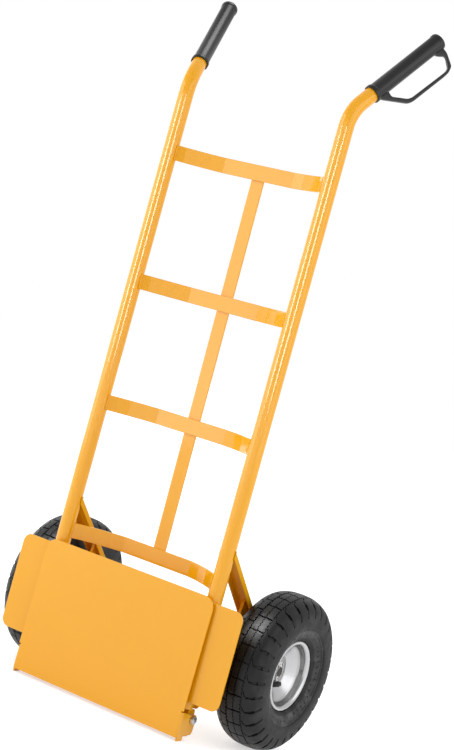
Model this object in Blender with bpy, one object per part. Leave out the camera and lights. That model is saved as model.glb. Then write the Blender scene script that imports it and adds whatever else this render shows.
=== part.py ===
"""Transport trolley: a steel sack truck with a folding toe plate and two air-filled wheels.

X runs across the truck, -Y is the load side, +Y the wheel side, and Z is up from the floor.
Left and right are those of somebody who faces the load side. Lengths are in metres.
"""
import math

import bmesh
import bpy
from mathutils import Matrix, Vector

# Clearances
FIT_GAP = 0.0003
CUT_OVERRUN = 0.004
EDGE_BREAK = 0.0006
MERGE_DISTANCE = 0.000003

# Rounding of curves
TUBE_SIDES = 18
WHEEL_SIDES = 32
RING_SIDES = 16
PIN_SIDES = 10
HEXAGON_SIDES = 12
CORNER_STEPS = 4
BEND_STEPS = 7
SMOOTH_ANGLE = math.radians(38.0)

# Side tubes with their handles
TUBE_SPACING = 0.311
TUBE_RADIUS = 0.0127
TUBE_WALL = 0.0018
TUBE_FOOT_HEIGHT = 0.0503
HANDLE_BEND_HEIGHT = 1.0205
HANDLE_BEND_RADIUS = 0.070
HANDLE_LENGTH = 0.2099
HANDLE_LEAN = math.radians(41.1)
HANDLE_SPLAY = math.radians(21.0)
SWAGED_RADIUS = 0.0112
SWAGE_LENGTH = 0.004
SWAGE_DEPTH = 0.002

# Grips with their hand guards
GRIP_LENGTH = 0.1605
GRIP_RADIUS = 0.0135
GRIP_END_WALL = 0.004
GRIP_END_ROUND = 0.0023
GRIP_COLLAR_RADIUS = 0.0152
GRIP_COLLAR_LENGTH = 0.0065
GRIP_RIM_RADIUS = 0.0146
GRIP_RIM_LENGTH = 0.007
GUARD_WIDTH = 0.0075
GUARD_REACH = 0.0505
GUARD_TURN = math.radians(22.0)
GUARD_OUTER_SHARES = ((0.04, 0.25), (0.068, 0.34), (0.278, 0.923), (0.33, 0.975), (0.80, 0.99),
                      (0.872, 0.97), (0.94, 0.87), (0.99, 0.40), (0.985, 0.25))
GUARD_INNER_SHARES = ((0.855, 0.25), (0.888, 0.366), (0.944, 0.485), (0.95, 0.554), (0.90, 0.881),
                      (0.86, 0.89), (0.36, 0.855), (0.304, 0.806), (0.166, 0.434), (0.174, 0.25))

# Flat bars across the frame, bowed towards the wheels, and the strip behind them
BAR_HEIGHT = 0.0255
BAR_THICKNESS = 0.004
BAR_TOP_BOW = 0.0345
BAR_BOTTOM_BOW = 0.0455
BAR_BOW_SHARES = ((0.92, 0.23), (0.79, 0.53), (0.63, 0.81), (0.475, 1.0))
BAR_TOP_HEIGHT = 0.9003
BAR_UPPER_HEIGHT = 0.6798
BAR_LOWER_HEIGHT = 0.4721
BAR_BOTTOM_HEIGHT = 0.2512
STRIP_WIDTH = 0.0240
STRIP_THICKNESS = 0.003
STRIP_END_INSET = 0.003

# Wing plates in front of the wheels
WING_OUTER_REACH = 0.0673
WING_INNER_LAP = 0.0175
WING_TOP = 0.2241
WING_BOTTOM = 0.0636
WING_THICKNESS = 0.003
WING_CORNER = 0.014

# Wheels and axle
WHEEL_RADIUS = 0.130
WHEEL_WIDTH = 0.085
WHEEL_OFFSET = 0.0663
TYRE_SETBACK = 0.006
AXLE_RADIUS = 0.008
AXLE_OVERHANG = 0.0092
AXLE_CHAMFER = 0.001
HUB_RADIUS = 0.0170
HUB_WALL = 0.0026
HUB_INNER_REACH = 0.034
HUB_OUTER_REACH = 0.0024
BEARING_WIDTH = 0.010
BEARING_BORE_RADIUS = 0.0083
RIM_FLANGE_RADIUS = 0.059
RIM_SEAT_RADIUS = 0.0508
RIM_WIDTH = 0.060
RIM_SHEET = 0.002
RIM_DISH_INNER_RADIUS = 0.0302
RIM_LIP_RADIUS = 0.053
RIM_SEAT_TURN = 0.0145
RIM_FLANGE_INSET = 0.0036
TYRE_WALL = 0.0078
TYRE_BEAD_REACH = 0.0248
TYRE_BEAD_WIDTH = 0.0068
TYRE_CROWN_SHARES = ((0.36, 0.987), (0.67, 0.926), (0.87, 0.819), (0.985, 0.655), (1.0, 0.491),
                     (0.92, 0.302))
TYRE_LINER_SHARES = ((0.865, 0.472), (0.86, 0.690), (0.52, 0.973))
INNER_TUBE_WALL = 0.0020
INNER_TUBE_SIDE_WALL = 0.0026
INNER_TUBE_SHARES = ((0.0, -0.162), (0.27, 0.050), (0.50, 0.144), (0.82, 0.490), (0.835, 0.681),
                     (0.50, 0.958), (0.0, 0.991))
VALVE_ANGLE = math.radians(-140.0)
VALVE_SEAT_RADIUS = 0.034
VALVE_BASE_RADIUS = 0.0044
VALVE_BASE_LENGTH = 0.0095
VALVE_TAIL_LENGTH = 0.0062
VALVE_STEM_RADIUS = 0.0027
VALVE_LENGTH = 0.0200
VALVE_CAP_RADIUS = 0.0047
VALVE_CAP_LENGTH = 0.0140
VALVE_CAP_TOP = 0.0030
VALVE_CAP_CHAMFER = 0.0008
SPACER_WALL = 0.003
AXLE_WASHER_RADIUS = 0.0145
AXLE_WASHER_THICKNESS = 0.0015
SPLIT_PIN_RADIUS = 0.0013
SPLIT_PIN_LEG = 0.0125
SPLIT_PIN_EYE = 0.0032
SPLIT_PIN_BEND = 0.004
SPLIT_PIN_START_SHARE = 0.20

# Channel braces, channel struts and axle plates
CHANNEL_WIDTH = 0.0304
CHANNEL_DEPTH = 0.010
CHANNEL_SHEET = 0.002
CHANNEL_CORNER = 0.003
BRACE_TOP_HEIGHT = 0.3105
BRACE_OVER_AXLE = 0.0606
BRACE_PAST_AXLE = 0.022
STRUT_FOOT_HEIGHT = 0.0510
STRUT_UNDER_AXLE = 0.0177
STRUT_END_REACH = 0.017
AXLE_PLATE_THICKNESS = 0.005
AXLE_PLATE_FRONT_REACH = 0.066
AXLE_PLATE_REAR_REACH = 0.021
AXLE_PLATE_EYE = 0.021
AXLE_PLATE_HEEL = 0.0168
AXLE_PLATE_CORNER = 0.005

# Folding toe plate, its hinge and the beam that carries it
HINGE_SETBACK = 0.0080
HINGE_HEIGHT = 0.0340
TOE_SIDE_REACH = 0.001
TOE_TOP = 0.2309
TOE_BOTTOM = 0.0054
TOE_FACE_REACH = 0.0330
TOE_THICKNESS = 0.003
TOE_CORNER = 0.018
TOE_BEND_RADIUS = 0.004
TOE_LEAN = math.radians(1.0)
TOE_RELIEF = 0.002
EAR_TOP = 0.0460
EAR_REAR = 0.0200
EAR_BOTTOM = 0.0080
EAR_CORNER = 0.003
EAR_HEEL_CORNER = 0.007
EAR_TAB_REAR = -0.0050
BEAM_DEPTH = 0.020
BEAM_HEIGHT = 0.045
BEAM_WALL = 0.003
BEAM_CORNER = 0.006
BEAM_FRONT = -0.001
HINGE_BLOCK_LENGTH = 0.012
HINGE_BOLT_RADIUS = 0.004
HINGE_BOLT_LENGTH = 0.0165
HINGE_BOLT_FLATS = 0.013
HINGE_BOLT_HEAD = 0.0048
HINGE_BOLT_CHAMFER = 0.0008
HINGE_HOLE_RADIUS = 0.0043
HINGE_WASHER_RADIUS = 0.008
HINGE_WASHER_THICKNESS = 0.0012

# Places worked out from the sizes above
TUBE_X = TUBE_SPACING / 2
TRACK_X = TUBE_X + WHEEL_OFFSET
AXLE_SETBACK = WHEEL_RADIUS + TYRE_SETBACK
WHEEL_CENTRE = Vector((TRACK_X, AXLE_SETBACK, WHEEL_RADIUS))
AXLE_CLEAR_RADIUS = AXLE_RADIUS + FIT_GAP
AXLE_END = TRACK_X + AXLE_OVERHANG
HANDLE_TURN = Vector((TUBE_X, 0.0, HANDLE_BEND_HEIGHT))
HANDLE_WAY = Vector((math.sin(HANDLE_LEAN) * math.sin(HANDLE_SPLAY),
                     math.sin(HANDLE_LEAN) * math.cos(HANDLE_SPLAY), math.cos(HANDLE_LEAN)))
GUARD_WAY = Vector((math.cos(HANDLE_LEAN) * math.sin(HANDLE_SPLAY),
                    math.cos(HANDLE_LEAN) * math.cos(HANDLE_SPLAY), -math.sin(HANDLE_LEAN)))
GUARD_WAY.rotate(Matrix.Rotation(-GUARD_TURN, 3, HANDLE_WAY))
GRIP_START = HANDLE_LENGTH - GRIP_LENGTH
TOE_HALF_WIDTH = TUBE_X + TUBE_RADIUS + TOE_SIDE_REACH
BEAM_HALF_LENGTH = TOE_HALF_WIDTH - TOE_THICKNESS - HINGE_WASHER_THICKNESS - 2 * FIT_GAP
BEAM_TOP = TUBE_FOOT_HEIGHT - FIT_GAP
HINGE_CENTRE = Vector((0.0, HINGE_SETBACK, HINGE_HEIGHT))

X_WAY = Vector((1.0, 0.0, 0.0))
Y_WAY = Vector((0.0, 1.0, 0.0))
Z_WAY = Vector((0.0, 0.0, 1.0))


def surface(name, colour, roughness, metallic):
    """Make a material with one plain Principled surface."""
    made = bpy.data.materials.new(name)
    made.use_nodes = True
    shader = made.node_tree.nodes["Principled BSDF"]
    shader.inputs["Base Color"].default_value = (*colour, 1.0)
    shader.inputs["Roughness"].default_value = roughness
    shader.inputs["Metallic"].default_value = metallic
    made.diffuse_color = (*colour, 1.0)
    return made


def place(name, shape, look, side=1, parent=None, centre=Vector()):
    """Turn a built shape into an object; side -1 mirrors it to the left."""
    if side < 0:
        bmesh.ops.scale(shape, vec=(-1.0, 1.0, 1.0), verts=shape.verts)
    bmesh.ops.translate(shape, vec=-centre, verts=shape.verts)
    bmesh.ops.recalc_face_normals(shape, faces=shape.faces)
    mesh = bpy.data.meshes.new(name)
    shape.to_mesh(mesh)
    shape.free()
    mesh.shade_smooth()
    mesh.set_sharp_from_angle(angle=SMOOTH_ANGLE)
    made = bpy.data.objects.new(name, mesh)
    bpy.context.collection.objects.link(made)
    made.data.materials.append(look)
    made.location = centre
    if parent is not None:
        made.parent = parent
        made.location = centre - parent.location
    return made


def pivot(name, centre, parent=None):
    """Add an empty that marks a body or a joint."""
    made = bpy.data.objects.new(name, None)
    bpy.context.collection.objects.link(made)
    made.location = centre
    made.parent = parent
    return made


def combine(target, other, operation):
    """Cut or join another object's shape and keep that object as a hidden guide."""
    step = target.modifiers.new(operation.lower(), "BOOLEAN")
    step.operation = operation
    step.solver = "EXACT"
    step.object = other
    other.hide_render = True
    other.display_type = "WIRE"


def break_edges(target, width=EDGE_BREAK):
    """Ease the sharp edges of a sheet or bar."""
    step = target.modifiers.new("edges", "BEVEL")
    step.width = width
    step.segments = 1
    step.limit_method = "ANGLE"
    step.angle_limit = SMOOTH_ANGLE


def rounded(corners):
    """Return an outline from corners given as place, place and fillet radius."""
    points = []
    count = len(corners)
    for index, (across, up, radius) in enumerate(corners):
        here = Vector((across, up))
        before = (Vector(corners[index - 1][:2]) - here).normalized()
        after = (Vector(corners[(index + 1) % count][:2]) - here).normalized()
        if radius <= 0.0:
            points.append(here)
            continue
        half = before.angle(after) / 2
        middle = here + (before + after).normalized() * (radius / math.sin(half))
        start = here + before * (radius / math.tan(half)) - middle
        end = here + after * (radius / math.tan(half)) - middle
        turn = start.angle_signed(end)
        for step in range(CORNER_STEPS + 1):
            spoke = start.copy()
            spoke.rotate(Matrix.Rotation(-turn * step / CORNER_STEPS, 2))
            points.append(middle + spoke)
    return points


def extruded(outline, base, across, up, way):
    """Extrude a flat outline along a vector."""
    shape = bmesh.new()
    corners = [shape.verts.new(base + across * point[0] + up * point[1]) for point in outline]
    face = shape.faces.new(corners)
    grown = bmesh.ops.extrude_face_region(shape, geom=[face])
    moved = [item for item in grown["geom"] if isinstance(item, bmesh.types.BMVert)]
    bmesh.ops.translate(shape, vec=way, verts=moved)
    return shape


def lofted(loops, closed):
    """Join loops of equally many points with quads; a closed loft returns to its first loop."""
    shape = bmesh.new()
    rings = [[shape.verts.new(point) for point in points] for points in loops]
    pairs = list(zip(rings, rings[1:]))
    if closed:
        pairs.append((rings[-1], rings[0]))
    for first, second in pairs:
        for index in range(len(first)):
            shape.faces.new((first[index - 1], first[index], second[index], second[index - 1]))
    if not closed:
        for end in (rings[0], rings[-1]):
            shape.faces.new(end)
    return shape


def hollow(outer, inner, base, across, up, way):
    """Extrude the wall between two outlines of equally many points."""
    def at(outline, shift):
        return [base + shift + across * point[0] + up * point[1] for point in outline]
    still = Vector()
    return lofted([at(outer, still), at(outer, way), at(inner, way), at(inner, still)], True)


def turned(profile, sides, base=Vector(), way=X_WAY, flats=()):
    """Spin a closed profile of places along and radii about an axis.

    Points whose number is in flats lie on a hexagon with that distance between flats.
    """
    aside = way.orthogonal().normalized()
    third = way.cross(aside).normalized()
    shape = bmesh.new()
    if not flats:
        points = [shape.verts.new(base + way * along + aside * radius) for along, radius in profile]
        edges = []
        for index, vert in enumerate(points):
            before = points[index - 1]
            if profile[index][1] > 0.0 or profile[index - 1][1] > 0.0:
                edges.append(shape.edges.new((before, vert)))
        bmesh.ops.spin(shape, geom=points + edges, cent=base, axis=way, angle=math.tau,
                       steps=sides, use_merge=True)
        bmesh.ops.remove_doubles(shape, verts=shape.verts, dist=MERGE_DISTANCE)
        return shape
    loops = []
    for index, (along, radius) in enumerate(profile):
        loop = []
        for step in range(sides):
            angle = math.tau * step / sides
            reach = radius
            if index in flats:
                sixth = math.tau / 6
                reach = radius / math.cos(angle % sixth - sixth / 2)
            spoke = aside * math.cos(angle) + third * math.sin(angle)
            loop.append(base + way * along + spoke * reach)
        loops.append(loop)
    return lofted(loops, False)


def ring_profile(start, end, inner, outer):
    """Profile of a plain ring."""
    return [(start, inner), (start, outer), (end, outer), (end, inner)]


def loops_along(path, radii, sides):
    """Rings of points round a path. Each run between two rings is a straight prism or cone."""
    way = (path[1] - path[0]).normalized()
    aside = way.orthogonal().normalized()
    third = way.cross(aside)
    spokes = []
    for step in range(sides):
        angle = math.tau * step / sides
        spokes.append(aside * math.cos(angle) + third * math.sin(angle))
    loops = []
    for index, point in enumerate(path):
        onward = way
        if index + 1 < len(path):
            onward = (path[index + 1] - point).normalized()
        tangent = (way + onward).normalized()
        lean = way.dot(tangent)
        spokes = [spoke - way * (spoke.dot(tangent) / lean) for spoke in spokes]
        loops.append([point + spoke * radii[index] for spoke in spokes])
        way = onward
    return loops


def sketch(shares, width, height, foot=0.0):
    """Scale an outline given in shares, its heights counted from a foot."""
    return [(across * width, foot + up * height) for across, up in shares]


for old in list(bpy.data.objects):
    bpy.data.objects.remove(old)

# Colours read from the photograph
paint = surface("orange_paint", (0.93, 0.42, 0.055), 0.38, 0.0)
rubber = surface("tyre_rubber", (0.045, 0.045, 0.047), 0.75, 0.0)
tube_rubber = surface("inner_tube_rubber", (0.03, 0.03, 0.03), 0.6, 0.0)
plastic = surface("grip_plastic", (0.05, 0.05, 0.052), 0.55, 0.0)
cap_plastic = surface("cap_plastic", (0.02, 0.02, 0.02), 0.4, 0.0)
chrome = surface("rim_steel", (0.62, 0.62, 0.63), 0.22, 1.0)
zinc = surface("zinc_steel", (0.55, 0.56, 0.58), 0.35, 1.0)
steel = surface("bare_steel", (0.42, 0.42, 0.43), 0.4, 1.0)

truck = pivot("truck", Vector())
toe_hinge = pivot("toe_hinge", HINGE_CENTRE, truck)
toe_hinge.rotation_euler = (-TOE_LEAN, 0.0, 0.0)

# Side tube: straight up from the hinge beam, one bend, then the handle that leans back and out.
# Its end is drawn down where the grip is pushed on.
tangent_length = HANDLE_BEND_RADIUS * math.tan(HANDLE_LEAN / 2)
bend_start = HANDLE_TURN - Z_WAY * tangent_length
bend_aside = (HANDLE_WAY - Z_WAY * HANDLE_WAY.z).normalized()
tube_path = [Vector((TUBE_X, 0.0, TUBE_FOOT_HEIGHT))]
for bend_step in range(BEND_STEPS + 1):
    bend_angle = HANDLE_LEAN * bend_step / BEND_STEPS
    tube_path.append(bend_start + Z_WAY * (HANDLE_BEND_RADIUS * math.sin(bend_angle))
                     + bend_aside * (HANDLE_BEND_RADIUS * (1 - math.cos(bend_angle))))
swage_start = GRIP_START + SWAGE_DEPTH
tube_path.append(HANDLE_TURN + HANDLE_WAY * swage_start)
tube_path.append(HANDLE_TURN + HANDLE_WAY * (swage_start + SWAGE_LENGTH))
tube_path.append(HANDLE_TURN + HANDLE_WAY * (HANDLE_LENGTH - GRIP_END_WALL - FIT_GAP))
tube_radii = [TUBE_RADIUS] * (len(tube_path) - 2) + [SWAGED_RADIUS] * 2
tube_bores = [radius - TUBE_WALL for radius in tube_radii]
for side, hand in ((-1, "left"), (1, "right")):
    walls = loops_along(tube_path, tube_radii, TUBE_SIDES)
    bores = loops_along(tube_path, tube_bores, TUBE_SIDES)
    place("side_tube_" + hand, lofted(walls + bores[::-1], True), paint, side, truck)

# Crossbar: a flat bar bent in four places, so that its middle stands back from the tubes.
# Both ends butt against the inner sides of the tubes. The lower a bar sits, the deeper its bow.
bar_end = TUBE_X - TUBE_RADIUS - FIT_GAP
bow_slope = (BAR_BOTTOM_BOW - BAR_TOP_BOW) / (BAR_TOP_HEIGHT - BAR_BOTTOM_HEIGHT)


def bow_at(height):
    """Depth of the middle of the crossbar at a height."""
    return BAR_TOP_BOW + (BAR_TOP_HEIGHT - height) * bow_slope


def bar_outline(bow):
    """Plan outline of a crossbar with a given depth of bow."""
    front = [(bar_end, -BAR_THICKNESS / 2)]
    front += [(bar_end * along_share, bow * bow_share) for along_share, bow_share in BAR_BOW_SHARES]
    back = [(bar_end, BAR_THICKNESS / 2)]
    for spot in range(1, len(front)):
        here = Vector(front[spot])
        run_in = (here - Vector(front[spot - 1])).normalized()
        run_out = Vector((-1.0, 0.0))
        if spot + 1 < len(front):
            run_out = (Vector(front[spot + 1]) - here).normalized()
        middle_way = (run_in + run_out).normalized()
        square = Vector((middle_way.y, -middle_way.x))
        back.append(here + square * (BAR_THICKNESS / middle_way.dot(run_out)))
    outline = front + [(-along, depth) for along, depth in front[::-1]]
    return outline + [(-along, depth) for along, depth in back] + back[::-1]


bar_heights = (("top", BAR_TOP_HEIGHT), ("upper", BAR_UPPER_HEIGHT),
               ("lower", BAR_LOWER_HEIGHT), ("bottom", BAR_BOTTOM_HEIGHT))
for bar_name, bar_middle in bar_heights:
    bar_base = Z_WAY * (bar_middle - BAR_HEIGHT / 2)
    bar_shape = extruded(bar_outline(bow_at(bar_middle)), bar_base, X_WAY, Y_WAY, Z_WAY * BAR_HEIGHT)
    bar = place("crossbar_" + bar_name, bar_shape, paint, parent=truck)
    break_edges(bar)

# Centre strip: a flat strip welded upright behind all four crossbars. It leans with their bows.
strip_low = BAR_BOTTOM_HEIGHT - BAR_HEIGHT / 2 + STRIP_END_INSET
strip_high = BAR_TOP_HEIGHT + BAR_HEIGHT / 2 - STRIP_END_INSET
strip_foot = bow_at(strip_low) + BAR_THICKNESS + FIT_GAP
strip_foot += bow_slope * (BAR_HEIGHT / 2 - STRIP_END_INSET)
strip_outline = [(-STRIP_WIDTH / 2, 0.0), (STRIP_WIDTH / 2, 0.0),
                 (STRIP_WIDTH / 2, STRIP_THICKNESS), (-STRIP_WIDTH / 2, STRIP_THICKNESS)]
strip_way = Vector((0.0, -bow_slope, 1.0)) * (strip_high - strip_low)
strip_base = Vector((0.0, strip_foot, strip_low))
strip_shape = extruded(strip_outline, strip_base, X_WAY, Y_WAY, strip_way)
strip = place("centre_strip", strip_shape, paint, parent=truck)
break_edges(strip)

# Wing plate: a flat guard plate welded to the front of the tube, ahead of the tyre.
wing_back = -TUBE_RADIUS - FIT_GAP
wing_edge = TUBE_X - WING_INNER_LAP
wing_end = TUBE_X + WING_OUTER_REACH
wing_outline = rounded([(wing_edge, WING_BOTTOM, 0.0), (wing_end, WING_BOTTOM, WING_CORNER),
                        (wing_end, WING_TOP, WING_CORNER), (wing_edge, WING_TOP, 0.0)])
for side, hand in ((-1, "left"), (1, "right")):
    wing_shape = extruded(wing_outline, Y_WAY * wing_back, X_WAY, Z_WAY, Y_WAY * -WING_THICKNESS)
    wing = place("wing_plate_" + hand, wing_shape, paint, side, truck)
    break_edges(wing)

# Hinge beam: a box tube across the feet of the side tubes, with a threaded block in each end.
beam_bottom = BEAM_TOP - BEAM_HEIGHT
beam_rear = BEAM_FRONT + BEAM_DEPTH


def beam_section(inset):
    """Outline of the box tube, moved inwards by an inset."""
    radius = BEAM_CORNER - min(inset, BEAM_WALL)
    near = BEAM_FRONT + inset
    far = beam_rear - inset
    low = beam_bottom + inset
    high = BEAM_TOP - inset
    return rounded([(near, low, radius), (far, low, radius), (far, high, radius), (near, high, radius)])


beam_shape = hollow(beam_section(0.0), beam_section(BEAM_WALL), X_WAY * -BEAM_HALF_LENGTH, Y_WAY, Z_WAY,
                    X_WAY * (2 * BEAM_HALF_LENGTH))
place("hinge_beam", beam_shape, paint, parent=truck)
block_outline = beam_section(BEAM_WALL + FIT_GAP)

# Toe plate: one sheet bent into an ear at each side. The ears turn on the hinge bolts.
# The surface below is the outer skin, which is then thickened inwards.
# The foot of each ear is cut level, so that it stands on the floor while the plate leans back.
toe_front = HINGE_SETBACK - TOE_FACE_REACH
ear_front = toe_front + TOE_BEND_RADIUS


def foot_at(setback):
    """Height in the sheet's own frame of a place that lies on the floor."""
    rise = (setback - HINGE_SETBACK) * math.sin(TOE_LEAN)
    return HINGE_HEIGHT + (rise - HINGE_HEIGHT) / math.cos(TOE_LEAN)


toe_skin = bmesh.new()
for side in (-1, 1):
    bend_edge = []
    for bend_step in range(CORNER_STEPS + 1):
        bend_angle = math.pi / 2 * bend_step / CORNER_STEPS
        bend_x = TOE_HALF_WIDTH - TOE_BEND_RADIUS * (1 - math.sin(bend_angle))
        bend_y = ear_front - TOE_BEND_RADIUS * math.cos(bend_angle)
        low = toe_skin.verts.new((side * bend_x, bend_y, TOE_BOTTOM))
        high = toe_skin.verts.new((side * bend_x, bend_y, EAR_TOP))
        bend_edge.append((low, high))
    for first, second in zip(bend_edge, bend_edge[1:]):
        toe_skin.faces.new((first[0], second[0], second[1], first[1]))
    ear_corners = rounded([(ear_front, foot_at(ear_front), 0.0),
                           (EAR_TAB_REAR, foot_at(EAR_TAB_REAR), 0.0),
                           (EAR_TAB_REAR, EAR_BOTTOM, 0.0), (EAR_REAR, EAR_BOTTOM, EAR_HEEL_CORNER),
                           (EAR_REAR, EAR_TOP, EAR_CORNER)])
    ear_verts = [toe_skin.verts.new((side * TOE_HALF_WIDTH, point.x, point.y)) for point in ear_corners]
    toe_skin.faces.new(ear_verts + [bend_edge[-1][1], bend_edge[-1][0]])
    if side < 0:
        left_bend = bend_edge[0]
    else:
        right_bend = bend_edge[0]
notch_x = TOE_HALF_WIDTH - TOE_BEND_RADIUS
notch_z = EAR_TOP + TOE_RELIEF
plate_corners = rounded([(notch_x, notch_z, 0.0), (TOE_HALF_WIDTH, notch_z, 0.0),
                         (TOE_HALF_WIDTH, TOE_TOP, TOE_CORNER), (-TOE_HALF_WIDTH, TOE_TOP, TOE_CORNER),
                         (-TOE_HALF_WIDTH, notch_z, 0.0), (-notch_x, notch_z, 0.0)])
plate_verts = [toe_skin.verts.new((point.x, toe_front, point.y)) for point in plate_corners]
toe_skin.faces.new([right_bend[0], right_bend[1]] + plate_verts + [left_bend[1], left_bend[0]])
toe = place("toe_plate", toe_skin, paint, parent=toe_hinge, centre=HINGE_CENTRE)
toe.location = Vector()
thicken = toe.modifiers.new("sheet", "SOLIDIFY")
thicken.thickness = TOE_THICKNESS
thicken.offset = -1.0
thicken.use_even_offset = True
drill_length = 2 * (TOE_HALF_WIDTH + CUT_OVERRUN)


def rod_profile(start, end, radius):
    """Profile of a solid rod."""
    return [(start, 0.0), (start, radius), (end, radius), (end, 0.0)]


drill_profile = rod_profile(0.0, drill_length, HINGE_HOLE_RADIUS)
drill_base = HINGE_CENTRE - X_WAY * (drill_length / 2)
drill = place("toe_drill", turned(drill_profile, RING_SIDES, drill_base), steel)
combine(toe, drill, "DIFFERENCE")
break_edges(toe)

# Threaded hinge blocks, washers and hexagon bolts: the shank is the pivot of the toe plate.
washer_start = BEAM_HALF_LENGTH + FIT_GAP
head_start = TOE_HALF_WIDTH + FIT_GAP
bolt_tip = TOE_HALF_WIDTH - HINGE_BOLT_LENGTH
head_end = head_start + HINGE_BOLT_HEAD
for side, hand in ((-1, "left"), (1, "right")):
    block_base = X_WAY * (BEAM_HALF_LENGTH - HINGE_BLOCK_LENGTH)
    block_shape = extruded(block_outline, block_base, Y_WAY, Z_WAY, X_WAY * HINGE_BLOCK_LENGTH)
    block = place("hinge_block_" + hand, block_shape, steel, side, truck)
    combine(block, drill, "DIFFERENCE")
    washer = ring_profile(washer_start, washer_start + HINGE_WASHER_THICKNESS, HINGE_HOLE_RADIUS,
                          HINGE_WASHER_RADIUS)
    place("hinge_washer_" + hand, turned(washer, RING_SIDES, HINGE_CENTRE), zinc, side, truck)
    flat = HINGE_BOLT_FLATS / 2
    bolt = [(bolt_tip, HINGE_BOLT_RADIUS - HINGE_BOLT_CHAMFER),
            (bolt_tip + HINGE_BOLT_CHAMFER, HINGE_BOLT_RADIUS), (head_start, HINGE_BOLT_RADIUS),
            (head_start, flat), (head_end - HINGE_BOLT_CHAMFER, flat), (head_end, flat - HINGE_BOLT_CHAMFER)]
    bolt_shape = turned(bolt, HEXAGON_SIDES, HINGE_CENTRE, flats=(3, 4))
    place("hinge_bolt_" + hand, bolt_shape, zinc, side, truck)

# Brace and strut: pressed channels from each tube back to the axle plate. The hollow of the
# brace looks forwards and down, that of the strut looks up. The brace's end fits round the tube.
channel_half = CHANNEL_WIDTH / 2
channel_outline = rounded([(-channel_half, -CHANNEL_DEPTH, 0.0), (-channel_half, 0.0, CHANNEL_CORNER),
                           (channel_half, 0.0, CHANNEL_CORNER), (channel_half, -CHANNEL_DEPTH, 0.0)])
fold_radius = CHANNEL_CORNER - CHANNEL_SHEET
fold_half = channel_half - CHANNEL_SHEET
channel_outline += rounded([
    (fold_half, -CHANNEL_DEPTH, 0.0), (fold_half, -CHANNEL_SHEET, fold_radius),
    (-fold_half, -CHANNEL_SHEET, fold_radius), (-fold_half, -CHANNEL_DEPTH, 0.0)])
strut_front = TUBE_RADIUS + FIT_GAP
brace_slope = math.atan2(BRACE_TOP_HEIGHT - WHEEL_RADIUS - BRACE_OVER_AXLE, AXLE_SETBACK)
strut_rise = WHEEL_RADIUS - STRUT_UNDER_AXLE - STRUT_FOOT_HEIGHT
strut_slope = math.atan2(strut_rise, AXLE_SETBACK - strut_front)
brace_way = Vector((0.0, 1.0, -math.tan(brace_slope)))
strut_way = Vector((0.0, 1.0, math.tan(strut_slope)))
brace_up = Z_WAY / math.cos(brace_slope)
strut_up = Z_WAY / -math.cos(strut_slope)
brace_start = Vector((TUBE_X, 0.0, BRACE_TOP_HEIGHT))
strut_start = Vector((TUBE_X, strut_front, STRUT_FOOT_HEIGHT))
cope_radius = TUBE_RADIUS + FIT_GAP
cope_base = Vector((TUBE_X, 0.0, BRACE_TOP_HEIGHT / 2))
cope_profile = rod_profile(0.0, BRACE_TOP_HEIGHT, cope_radius)
strut_end = AXLE_SETBACK - STRUT_END_REACH
brace_run = brace_way * (AXLE_SETBACK + BRACE_PAST_AXLE)
strut_run = strut_way * (strut_end - strut_front)
for side, hand in ((-1, "left"), (1, "right")):
    brace_shape = extruded(channel_outline, brace_start, X_WAY, brace_up, brace_run)
    brace = place("brace_" + hand, brace_shape, paint, side, truck)
    strut_shape = extruded(channel_outline, strut_start, X_WAY, strut_up, strut_run)
    place("strut_" + hand, strut_shape, paint, side, truck)
    cope = place("brace_cope_" + hand, turned(cope_profile, RING_SIDES * 2, cope_base, Z_WAY), steel, side)
    combine(brace, cope, "DIFFERENCE")

# Axle plate: an upright plate between the channel's flanges that carries the axle.
brace_inset = (CHANNEL_SHEET + FIT_GAP) / math.cos(brace_slope)
strut_inset = (CHANNEL_SHEET + FIT_GAP) / math.cos(strut_slope)


def under_brace(setback):
    """Height of the inner face of the brace's web."""
    return BRACE_TOP_HEIGHT - brace_inset - setback * math.tan(brace_slope)


def over_strut(setback):
    """Height of the inner face of the strut's web."""
    return STRUT_FOOT_HEIGHT + strut_inset + (setback - strut_front) * math.tan(strut_slope)


plate_toe = strut_end + FIT_GAP
plate_front = AXLE_SETBACK - AXLE_PLATE_FRONT_REACH
plate_rear = AXLE_SETBACK + AXLE_PLATE_REAR_REACH
plate_outline = rounded([
    (plate_front, over_strut(plate_front), 0.0),
    (plate_toe, over_strut(plate_toe), 0.0),
    (AXLE_SETBACK, WHEEL_RADIUS - AXLE_PLATE_EYE, AXLE_PLATE_CORNER),
    (AXLE_SETBACK + AXLE_PLATE_EYE, WHEEL_RADIUS - AXLE_PLATE_EYE, AXLE_PLATE_HEEL),
    (plate_rear, under_brace(plate_rear), 0.0),
    (plate_front + AXLE_PLATE_EYE, under_brace(plate_front + AXLE_PLATE_EYE), 0.0),
    (plate_front, over_strut(plate_front) + AXLE_PLATE_EYE, AXLE_PLATE_CORNER)])
axle_base = Vector((0.0, AXLE_SETBACK, WHEEL_RADIUS))
axle_hole = rod_profile(-AXLE_END, AXLE_END, AXLE_CLEAR_RADIUS)
axle_drill = place("axle_drill", turned(axle_hole, RING_SIDES, axle_base), steel)
plate_side = TUBE_X + AXLE_PLATE_THICKNESS / 2
for side, hand in ((-1, "left"), (1, "right")):
    plate_shape = extruded(plate_outline, X_WAY * plate_side, Y_WAY, Z_WAY, X_WAY * -AXLE_PLATE_THICKNESS)
    plate = place("axle_plate_" + hand, plate_shape, paint, side, truck)
    combine(plate, axle_drill, "DIFFERENCE")

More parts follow.
